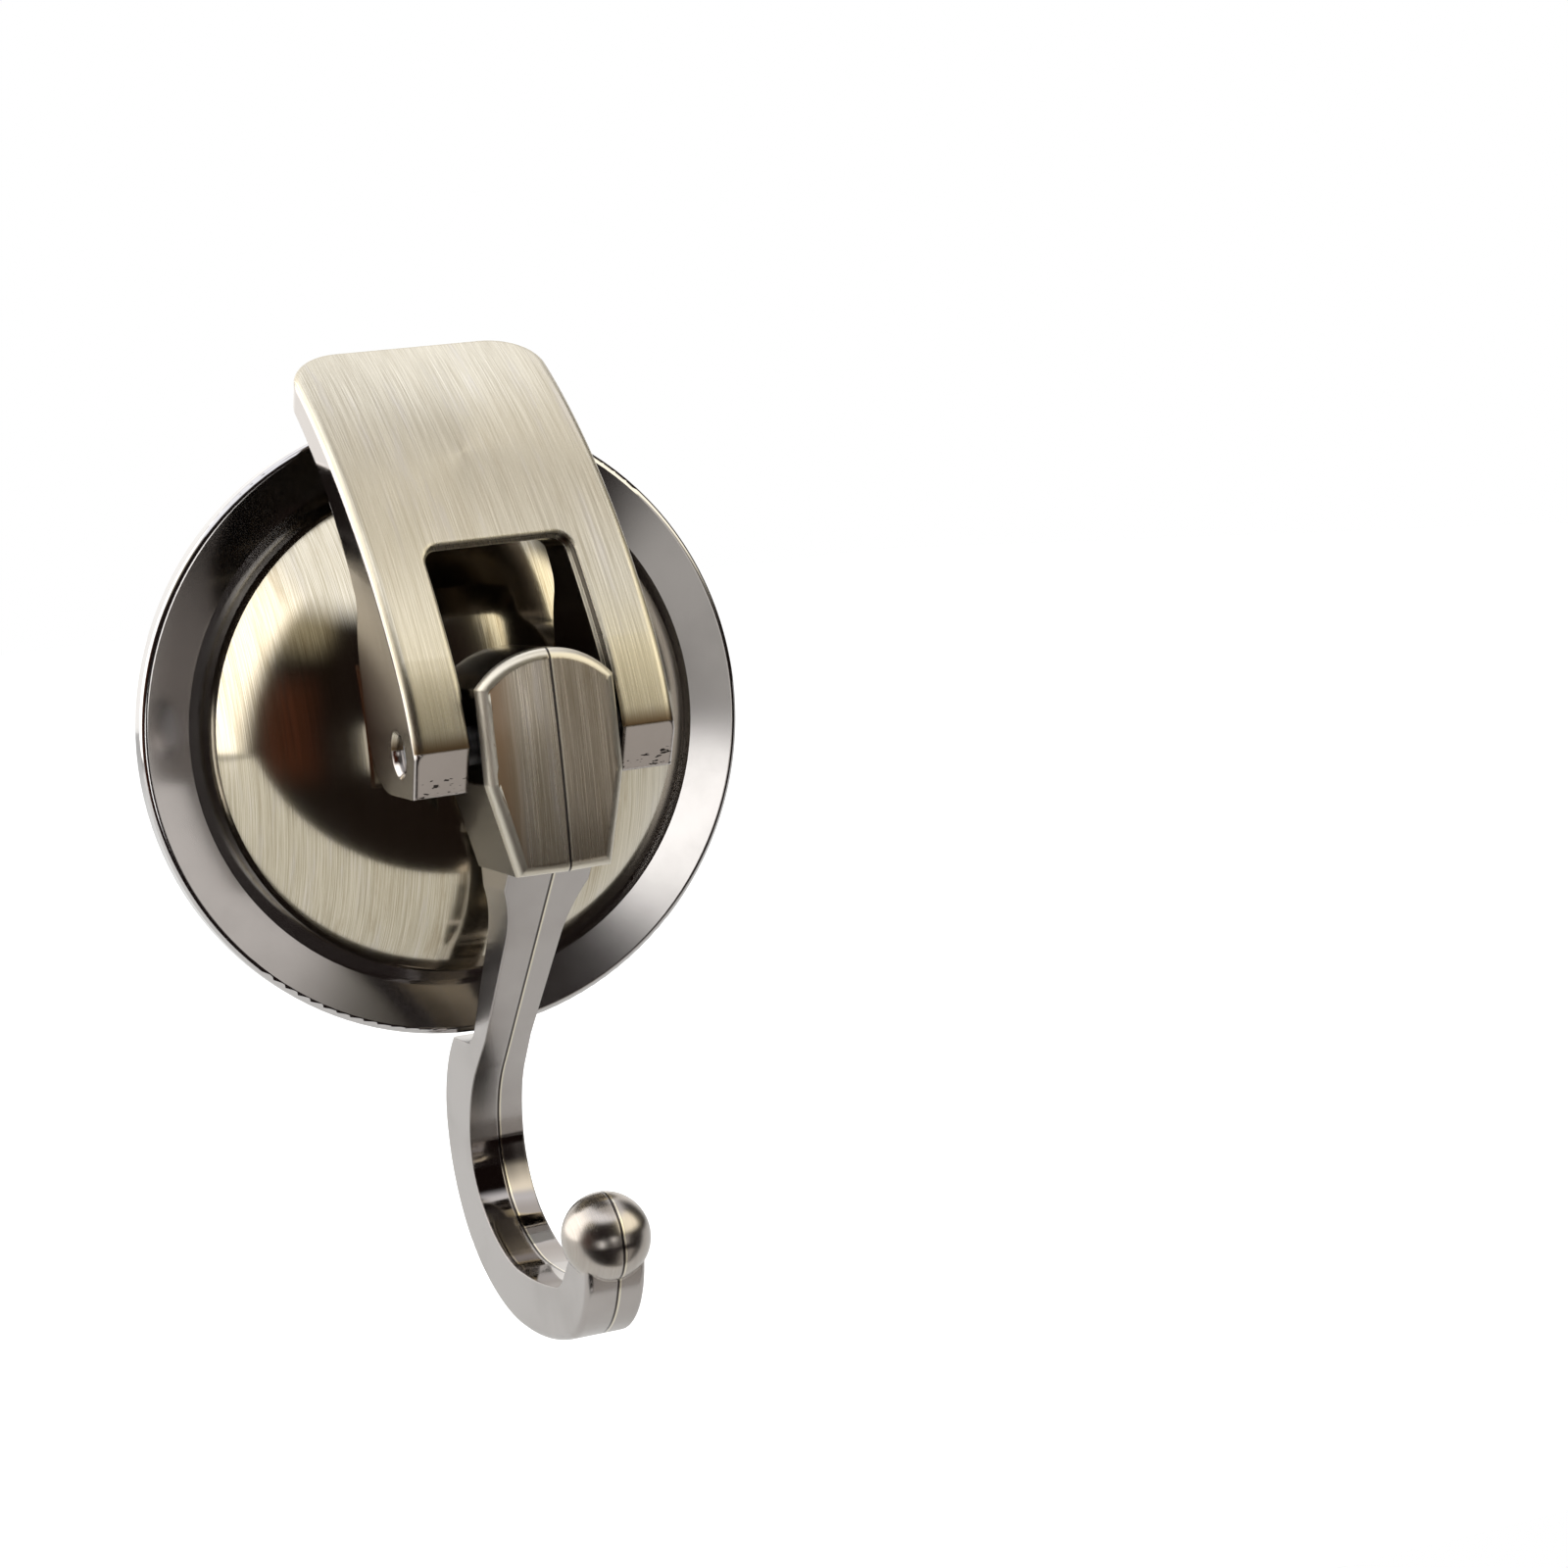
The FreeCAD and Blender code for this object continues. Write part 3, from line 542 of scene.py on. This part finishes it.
class FinishBench:
    """Makes the materials from the finishes, with the shared effects built once."""

    bevel_samples = 4

    def __init__(self) -> None:
        """Builds the shared effects."""
        self.strokes = BrushStrokes().build()
        self.handling = Handling().build()

    def brushed_parts(self, pad: MaterialPad, finish: BrushedPlating) -> tuple[Socket, Socket, Socket]:
        """Adds a brushed face to a material.

        Args:
            pad: the material.
            finish: the brushed finish.

        Returns:
            Its colour, its roughness and the strokes' height.
        """
        strokes = pad.effect(self.strokes).outputs
        streak = pad.smooth_step(strokes["Streak"], *finish.streak_step)
        stains = pad.effect(self.strokes, {"Strokes per metre": finish.stains_per_metre,
                                           "Stroke length": finish.stain_length}).outputs["Streak"]
        colour = pad.mix(Mix.COLOURS, streak, finish.dark_tone, finish.tone)
        for share, step, tone in ((finish.patina, finish.patina_step, finish.patina_tone),
                                  (finish.bloom, finish.bloom_step, finish.bloom_tone)):
            stained = pad.maths("MULTIPLY", pad.smooth_step(stains, *step), share)
            colour = pad.mix(Mix.COLOURS, stained, colour, tone)
        roughest = finish.roughness * (1.0 + finish.unevenness)
        smoothest = finish.roughness * (1.0 - finish.unevenness)
        return colour, pad.mix(Mix.VALUES, streak, roughest, smoothest), strokes["Height"]

    def polished_parts(self, pad: MaterialPad, finish: PolishedPlating) -> tuple[Socket, Socket]:
        """Adds a polished face to a material.

        Args:
            pad: the material.
            finish: the polished finish.

        Returns:
            Its colour and its roughness.
        """
        haze = pad.effect(self.handling).outputs["Haze"]
        colour = pad.mix(Mix.COLOURS, haze, finish.tone, finish.hazed_tone)
        return colour, pad.mix(Mix.VALUES, haze, finish.roughness, finish.roughness + finish.haze)

    def plated(self, name: str, brushed: BrushedPlating, polished: PolishedPlating, mask: Mask,
               zones: tuple[Zone, ...] = (), seam: PartingSeam | None = None,
               soft_edge: float = 0.0) -> bpy.types.Material:
        """Makes a plated material that is brushed where the mask says, and polished elsewhere.

        Args:
            name: the material's name.
            brushed: the brushed finish. The lacquer over the whole piece is its lacquer.
            polished: the polished finish.
            mask: where the piece is brushed.
            zones: parts of the piece that look different, laid over in order.
            seam: the casting's parting seam, if it has one.
            soft_edge: radius of the polished-down edges, or 0.

        Returns:
            The material.
        """
        pad = MaterialPad(name)
        where = mask.socket(pad)
        brushed_colour, brushed_rough, height = self.brushed_parts(pad, brushed)
        polished_colour, polished_rough = self.polished_parts(pad, polished)
        colour = pad.mix(Mix.COLOURS, where, polished_colour, brushed_colour)
        rough = pad.mix(Mix.VALUES, where, polished_rough, brushed_rough)
        for zone in zones:
            inside = zone.where.socket(pad)
            colour = pad.mix(Mix.COLOURS, inside, colour, zone.tone)
            rough = pad.mix(Mix.VALUES, inside, rough, zone.roughness)
        relief = pad.maths("MULTIPLY", pad.maths("MULTIPLY", height, where), brushed.stroke_depth)
        if seam is not None:
            on_seam = seam.stripe(pad)
            # Painted highlight: a pale line beside the seam, where its step catches the light.
            colour = pad.mix(Mix.COLOURS, seam.stripe(pad, seam.highlight_offset), colour, seam.painted_highlight_tone)
            colour = pad.mix(Mix.COLOURS, on_seam, colour, seam.tone)
            relief = pad.maths("SUBTRACT", relief, pad.maths("MULTIPLY", on_seam, seam.depth))
        self.raise_relief(pad, relief, soft_edge)
        pad.link(colour, pad.shader["Base Color"])
        pad.link(rough, pad.shader["Roughness"])
        pad.shader["Metallic"].default_value = 1.0
        pad.shader["Anisotropic"].default_value = brushed.spread
        tangent = pad.add("ShaderNodeTangent", direction_type="RADIAL", axis="Z")
        pad.link(tangent.outputs[0], pad.shader["Tangent"])
        pad.shader["Coat Weight"].default_value = brushed.lacquer
        pad.shader["Coat Roughness"].default_value = brushed.lacquer_roughness
        return pad.material

    def raise_relief(self, pad: MaterialPad, relief: Socket, soft_edge: float) -> None:
        """Gives a material its relief, and edges that look rounded.

        Args:
            pad: the material.
            relief: the relief's height in metres.
            soft_edge: radius of the edges, or 0 to leave them crisp.
        """
        bump = pad.add("ShaderNodeBump")
        bump.inputs["Distance"].default_value = 1.0
        if soft_edge > 0.0:
            rounded = pad.add("ShaderNodeBevel", samples=self.bevel_samples)
            rounded.inputs["Radius"].default_value = soft_edge
            pad.link(rounded.outputs[0], bump.inputs["Normal"])
        pad.link(relief, bump.inputs["Height"])
        pad.link(bump.outputs["Normal"], pad.shader["Normal"])

    def clear(self, name: str, finish: ClearPlastic) -> bpy.types.Material:
        """Makes a clear plastic material.

        Args:
            name: the material's name.
            finish: the clear finish.

        Returns:
            The material.
        """
        pad = MaterialPad(name)
        haze = pad.effect(self.handling).outputs["Haze"]
        rough = pad.mix(Mix.VALUES, haze, finish.roughness, finish.roughness + finish.haze)
        pad.link(rough, pad.shader["Roughness"])
        pad.fill(pad.shader["Base Color"], finish.tint)
        pad.shader["Transmission Weight"].default_value = 1.0
        pad.shader["IOR"].default_value = finish.refraction
        return pad.material


def dress(piece: Piece, material: bpy.types.Material) -> None:
    """Puts a material on a piece of the frame.

    Args:
        piece: the piece.
        material: the finish for all of its material slots.
    """
    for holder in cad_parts[piece.value].material_slots:
        holder.material = material
    log.info("%s: finished with %s", piece.value, material.name)


def keep(piece: Piece) -> None:
    """Reports a piece that keeps the material it has in the frame."""
    log.info("%s: keeps %s", piece.value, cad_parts[piece.value].material_slots[0].material.name)


def front_face(low: float, high: float) -> Mask:
    """Faces that aren't turned far aside, between two heights.

    Args:
        low: the lower height.
        high: the upper height.

    Returns:
        The mask.
    """
    return AllOf((Sideways((0.99, 0.89)), Past(UP, low), Past(DOWN, -high)))


@dataclass
class SuctionCup:
    """Soft cup and the hard stem moulded into it."""

    stem: ClearPlastic = ClearPlastic()

    def build(self, bench: FinishBench) -> None:
        """Makes the stem milky, and leaves the cup in the frame's own plastic."""
        keep(Piece.SUCTION_CUP)
        dress(Piece.CUP_STEM, bench.clear("milky_stem", self.stem))


@dataclass
class DomeCover:
    """Flange, ring and dome."""

    dome_radius: float = 0.0278
    brushed: BrushedPlating = BrushedPlating(tone=(0.61, 0.55, 0.43), dark_tone=(0.37, 0.32, 0.22),
                                             roughness=0.13, spread=0.5, lacquer=0.5, patina=0.6)
    polished: PolishedPlating = PolishedPlating(tone=(0.52, 0.50, 0.49), hazed_tone=(0.50, 0.48, 0.47),
                                                roughness=0.12, haze=0.02)

    def build(self, bench: FinishBench) -> None:
        """Brushes the dome and polishes the ring and the flange."""
        dome = WithinRadius(self.dome_radius)
        dress(Piece.DOME_COVER, bench.plated("cover_plating", self.brushed, self.polished, dome))


@dataclass
class PivotPin:
    """Cross pin."""

    def build(self, bench: FinishBench) -> None:
        """Leaves the pin in the frame's own steel."""
        keep(Piece.PIVOT_PIN)


@dataclass
class Lever:
    """Curved strap with a window and two fork arms."""

    arm_foot: float = 0.0003
    strap_top: float = 0.05
    front_step: Span = (0.3, 0.5)
    underside: Triple = (0.0, 0.7, -0.7)
    underside_step: Span = (0.2, 0.4)
    dark_side_top: float = 0.0205
    dark_side_fade: float = 0.004
    dark_side_step: Span = (0.95, 0.99)
    painted_shade_height: float = 0.0011
    painted_brown_tone: Colour = (0.16, 0.105, 0.055)
    painted_brown_roughness: float = 0.34
    wear_drop: float = 0.0024
    wear_tone: Colour = (0.05, 0.04, 0.035)
    wear_roughness: float = 0.5
    soft_edge: float = 0.0004
    brushed: BrushedPlating = BrushedPlating(patina=0.16, bloom=0.3)
    polished: PolishedPlating = PolishedPlating()

    def zones(self) -> tuple[Zone, ...]:
        """Lists the parts of the lever that look different.

        Returns:
            The painted shade on the underside and low sides, the painted shade on the brown ends of the
            arms, and the worn toes.
        """
        # Painted shade: the underside and the low sides are darkened where shade falls on them.
        low_sides = AllOf((Sideways(self.dark_side_step),
                           Past(DOWN, -self.dark_side_top, self.dark_side_fade)))
        painted_shade_area = AnyOf((Facing(self.underside, self.underside_step), low_sides))
        forwards = Facing(FRONT, self.front_step)
        # Painted shade: a brown band at the foot of the arms' fronts, where they curve round to the toes.
        painted_shade_start = Past(DOWN, -self.arm_foot - self.painted_shade_height, self.painted_shade_height)
        shaded_arm_ends = AllOf((forwards, painted_shade_start, Past(UP, self.arm_foot)))
        worn_toes = AllOf((forwards, Past(DOWN, self.wear_drop), Knocks()))
        return (PaintedShade(painted_shade_area), Zone(shaded_arm_ends, self.painted_brown_tone, self.painted_brown_roughness),
                Zone(worn_toes, self.wear_tone, self.wear_roughness))

    def build(self, bench: FinishBench) -> None:
        """Brushes the front along its length, and leaves the toes and upper sides polished."""
        strap = front_face(self.arm_foot, self.strap_top)
        dress(Piece.LEVER, bench.plated("lever_plating", self.brushed, self.polished, strap, self.zones(),
                                        soft_edge=self.soft_edge))


@dataclass
class Hook:
    """Shield head, shank, bend, post and ball in one casting."""

    seam: PartingSeam = PartingSeam()
    head_foot: float = -0.0133
    head_top: float = 0.0096
    ball_centre: Triple = (0.0, -0.0467, -0.0509)
    ball_radius: float = 0.00465
    ball_brushed: float = 0.45
    throat_drop: float = 0.0474
    throat_reach: float = 0.0415
    throat_facing: Triple = (0.0, -0.6, 0.8)
    throat_step: Span = (0.1, 0.3)
    throat_tone: Colour = (0.34, 0.31, 0.29)
    throat_roughness: float = 0.06
    painted_shade_tone: Colour = (0.055, 0.042, 0.034)
    painted_shade_fade: float = 0.0006
    rim_back: float = 0.0450
    rim_fade: float = 0.0003
    rim_step: Span = (-0.975, -0.95)
    rim_highlight_tone: Colour = (0.66, 0.61, 0.51)
    rim_roughness: float = 0.40
    reflection_aside: float = 0.0046
    reflection_fade: float = 0.0013
    reflection_step: Span = (0.95, 0.975)
    painted_brown_tone: Colour = (0.36, 0.24, 0.14)
    painted_brown_roughness: float = 0.34
    soft_edge: float = 0.0003
    brushed: BrushedPlating = BrushedPlating(tone=(0.60, 0.525, 0.415), dark_tone=(0.38, 0.32, 0.235))
    polished: PolishedPlating = PolishedPlating(tone=(0.41, 0.38, 0.36), hazed_tone=(0.37, 0.34, 0.32),
                                                roughness=0.22)

    def zones(self) -> tuple[Zone, ...]:
        """Lists the parts of the hook that look different.

        Returns:
            The bright throat, painted shade on the back of the head, a painted highlight on its rim, and a
            painted brown reflection beside the rim on the left.
        """
        throat = AllOf((Facing(self.throat_facing, self.throat_step), Past(DOWN, self.throat_drop),
                        Past(BACK, -self.throat_reach)))
        head = Past(UP, self.head_foot)
        # Painted shade: the head's back, behind the rim, is darkened where shade falls.
        behind_rim = AllOf((Past(BACK, -self.rim_back, self.painted_shade_fade), head))
        # Painted highlight: the head's rounded rim is given a paler tone.
        rim = AllOf((Facing(BACK, self.rim_step), Past(FRONT, self.rim_back, self.rim_fade), head))
        # Painted reflection: a brown band beside the rim on the left side of the head.
        painted_reflection_beside_rim = AllOf((Facing(FRONT, self.reflection_step),
                            Past(LEFT, self.reflection_aside, self.reflection_fade), head))
        return (Zone(throat, self.throat_tone, self.throat_roughness), PaintedShade(behind_rim, self.painted_shade_tone),
                Zone(rim, self.rim_highlight_tone, self.rim_roughness),
                Zone(painted_reflection_beside_rim, self.painted_brown_tone, self.painted_brown_roughness))

    def build(self, bench: FinishBench) -> None:
        """Brushes the head, half brushes the ball, and leaves the rest satin.

        Args:
            bench: makes the material.
        """
        head = front_face(self.head_foot, self.head_top)
        ball = NearPoint(self.ball_centre, self.ball_radius, self.ball_brushed)
        dress(Piece.HOOK, bench.plated("hook_plating", self.brushed, self.polished, AnyOf((head, ball)),
                                       self.zones(), self.seam, self.soft_edge))


def towards(azimuth: float, elevation: float) -> Vector:
    """Direction from the object into the room.

    Args:
        azimuth: degrees from straight in front of the hook towards the right.
        elevation: degrees above the horizon.

    Returns:
        A unit vector.
    """
    turn, rise = radians(azimuth), radians(elevation)
    return Vector((sin(turn) * cos(rise), -cos(turn) * cos(rise), sin(rise)))


@dataclass(frozen=True)
class SoftLamp:
    """A flat soft lamp that faces the object. Its angles are in degrees, as in towards."""

    name: str
    azimuth: float
    elevation: float
    distance: float
    width: float
    height: float
    brightness: float

    def build(self, target: Vector) -> None:
        """Hangs the lamp.

        Args:
            target: the point that it faces.
        """
        data = bpy.data.lights.new(self.name, "AREA")
        data.shape = "RECTANGLE"
        data.size, data.size_y = self.width, self.height
        data.energy = self.brightness * pi * self.width * self.height
        lamp = bpy.data.objects.new(self.name, data)
        bpy.context.scene.collection.objects.link(lamp)
        back = towards(self.azimuth, self.elevation)
        lamp.location = target + back * self.distance
        lamp.rotation_euler = back.to_track_quat("Z", "Y").to_euler()
        lamp.visible_camera = False
        lamp.visible_glossy = False


@dataclass(frozen=True)
class RoomPatch:
    """A soft-edged patch of the room, as the metal mirrors it. Its angles are in degrees."""

    name: str
    azimuth: float
    half_width: float
    elevation: float
    half_height: float
    softness: float
    colour: Colour
    lean: float = 0.0

    def mask(self, pad: NodePad, azimuth: Socket, elevation: Socket) -> Socket:
        """Adds the patch's mask to the room.

        Args:
            pad: the room's pad.
            azimuth: degrees from straight in front towards the right.
            elevation: degrees above the horizon.

        Returns:
            1 in the patch, and 0 outside.
        """
        up = pad.maths("SUBTRACT", elevation, self.elevation)
        aside = pad.maths("SUBTRACT", pad.maths("SUBTRACT", azimuth, self.azimuth),
                          pad.maths("MULTIPLY", up, self.lean))
        turned = pad.maths("WRAP", aside, FULL_TURN / 2.0, -FULL_TURN / 2.0)
        parts = (pad.smooth_step(pad.maths("ABSOLUTE", value), half + self.softness, half - self.softness)
                 for value, half in ((turned, self.half_width), (up, self.half_height)))
        return pad.maths("MULTIPLY", *parts)


# Half width of a patch that runs round the whole room
ALL_ROUND = 190.0


@dataclass
class Studio:
    """Pale floor, soft lamps, the room that the metal mirrors, and the camera."""

    centre: Triple = (0.0, -0.025, -0.012)
    floor_height: float = -0.095
    floor_front: float = -0.066
    floor_size: float = 3.0
    floor_colour: Colour = (0.86, 0.86, 0.85)
    floor_glow: float = 0.6
    room_shade: Colour = (0.012, 0.007, 0.006)
    fill_level: float = 0.62
    camera_place: Triple = (-0.0874005, -0.2999473, 0.0243882)
    camera_turn: Triple = (82.98729, 6.25325, -17.08284)
    camera_lens: float = 61.875
    camera_sensor: float = 36.0
    camera_shift: Span = (0.221875, 0.034375)
    camera_range: Span = (0.01, 20.0)
    lamps: tuple[SoftLamp, ...] = (
        SoftLamp("left_softbox", -112.0, 30.0, 0.85, 0.95, 1.0, 1.5),
        SoftLamp("overhead_softbox", -20.0, 72.0, 0.80, 0.9, 0.6, 1.3),
    )
    patches: tuple[RoomPatch, ...] = (
        RoomPatch("wall behind", 180.0, 52.0, 0.0, 75.0, 12.0, (1.2, 1.18, 1.15)),
        RoomPatch("floor below", 180.0, ALL_ROUND, -78.0, 14.0, 5.0, (0.40, 0.37, 0.33)),
        RoomPatch("low panel, right", 36.0, 20.0, -43.0, 18.0, 4.0, (0.56, 0.53, 0.50)),
        RoomPatch("red shade, left", -72.0, 13.0, 4.0, 18.0, 8.0, (0.075, 0.024, 0.012)),
        RoomPatch("high panel, left", -74.0, 18.0, 46.0, 12.0, 8.0, (0.44, 0.40, 0.30)),
        RoomPatch("large lamp, left", -118.0, 32.0, 28.0, 36.0, 7.0, (2.8, 2.75, 2.7), 0.25),
        RoomPatch("warm lamp, right", 56.0, 30.0, 32.0, 20.0, 7.0, (2.1, 1.99, 1.66)),
        RoomPatch("ceiling light", 180.0, ALL_ROUND, 64.0, 14.0, 8.0, (1.62, 1.66, 1.76)),
        RoomPatch("ceiling shade, right", 62.0, 58.0, 71.0, 12.0, 12.0, (0.98, 0.95, 0.92)),
        RoomPatch("ceiling middle", 180.0, ALL_ROUND, 90.0, 13.0, 6.0, (0.62, 0.60, 0.58)),
        RoomPatch("front lamp, left", -32.0, 4.5, -5.0, 9.0, 2.5, (2.8, 2.8, 2.8)),
        RoomPatch("front lamp, middle", 1.0, 4.5, 4.5, 6.5, 2.0, (2.2, 2.18, 2.14)),
        RoomPatch("front panel, middle", 2.5, 4.5, -9.0, 6.0, 2.0, (0.66, 0.64, 0.61)),
        RoomPatch("front panel, right", 32.0, 6.0, -1.5, 11.0, 2.5, (0.90, 0.86, 0.82)),
    )

    def build(self) -> None:
        """Sets the whole stage."""
        self.light_room()
        self.lay_floor()
        for lamp in self.lamps:
            lamp.build(Vector(self.centre))
            log.info("lamp: %s", lamp.name)
        self.place_camera()
        bpy.context.scene.view_settings.view_transform = "Standard"

    def light_room(self) -> None:
        """Writes the world: white to the eye, plain for the fill light, and patched for the metal."""
        world = bpy.data.worlds.new("room")
        bpy.context.scene.world = world
        world.use_nodes = True
        pad = NodePad(world.node_tree)
        view = pad.add("ShaderNodeTexCoord").outputs["Generated"]
        turn = pad.maths("ARCTAN2", pad.along(view, RIGHT), pad.along(view, FRONT))
        azimuth = pad.maths("DEGREES", turn)
        elevation = pad.maths("DEGREES", pad.maths("ARCSINE", pad.along(view, UP)))
        seen = self.room_shade
        for patch in self.patches:
            seen = pad.mix(Mix.COLOURS, patch.mask(pad, azimuth, elevation), seen, patch.colour)
            log.info("room patch: %s", patch.name)
        path = pad.add("ShaderNodeLightPath").outputs
        mirrored = pad.maths("MAXIMUM", path["Is Glossy Ray"], path["Is Transmission Ray"])
        filled = pad.mix(Mix.COLOURS, mirrored, (self.fill_level,) * 3, seen)
        background = pad.add("ShaderNodeBackground")
        pad.link(pad.mix(Mix.COLOURS, path["Is Camera Ray"], filled, WHITE), background.inputs["Color"])
        pad.link(background.outputs[0], pad.add("ShaderNodeOutputWorld").inputs["Surface"])

    def lay_floor(self) -> None:
        """Lays a pale floor below the hook. It stays white to the eye and keeps the shadow."""
        bpy.ops.object.select_all(action="DESELECT")
        middle = (0.0, self.floor_front + self.floor_size / 2.0, self.floor_height)
        bpy.ops.mesh.primitive_plane_add(size=self.floor_size, location=middle)
        floor = bpy.context.object
        floor.name = "studio_floor"
        material = bpy.data.materials.new("pale_floor")
        material.use_nodes = True
        pad = NodePad(material.node_tree)
        paper = pad.add("ShaderNodeBsdfDiffuse")
        pad.fill(paper.inputs["Color"], self.floor_colour)
        glow = pad.add("ShaderNodeEmission")
        seen = pad.add("ShaderNodeLightPath").outputs["Is Camera Ray"]
        pad.link(pad.maths("MULTIPLY", seen, self.floor_glow), glow.inputs["Strength"])
        both = pad.add("ShaderNodeAddShader")
        pad.link(paper.outputs[0], both.inputs[0])
        pad.link(glow.outputs[0], both.inputs[1])
        pad.link(both.outputs[0], pad.add("ShaderNodeOutputMaterial").inputs["Surface"])
        floor.data.materials.append(material)

    def place_camera(self) -> None:
        """Puts the camera where the photograph was taken from."""
        data = bpy.data.cameras.new("camera")
        data.lens = self.camera_lens
        data.sensor_width = self.camera_sensor
        data.shift_x, data.shift_y = self.camera_shift
        data.clip_start, data.clip_end = self.camera_range
        camera = bpy.data.objects.new("camera", data)
        camera.location = self.camera_place
        camera.rotation_euler = tuple(radians(angle) for angle in self.camera_turn)
        bpy.context.scene.collection.objects.link(camera)
        bpy.context.scene.camera = camera


def main() -> None:
    """Builds the pieces' looks in order, and then the studio."""
    logging.basicConfig(level=logging.INFO, format="%(message)s")
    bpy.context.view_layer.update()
    bench = FinishBench()
    for piece in (SuctionCup(), DomeCover(), PivotPin(), Lever(), Hook()):
        piece.build(bench)
    Studio().build()


if __name__ == "__main__":
    main()
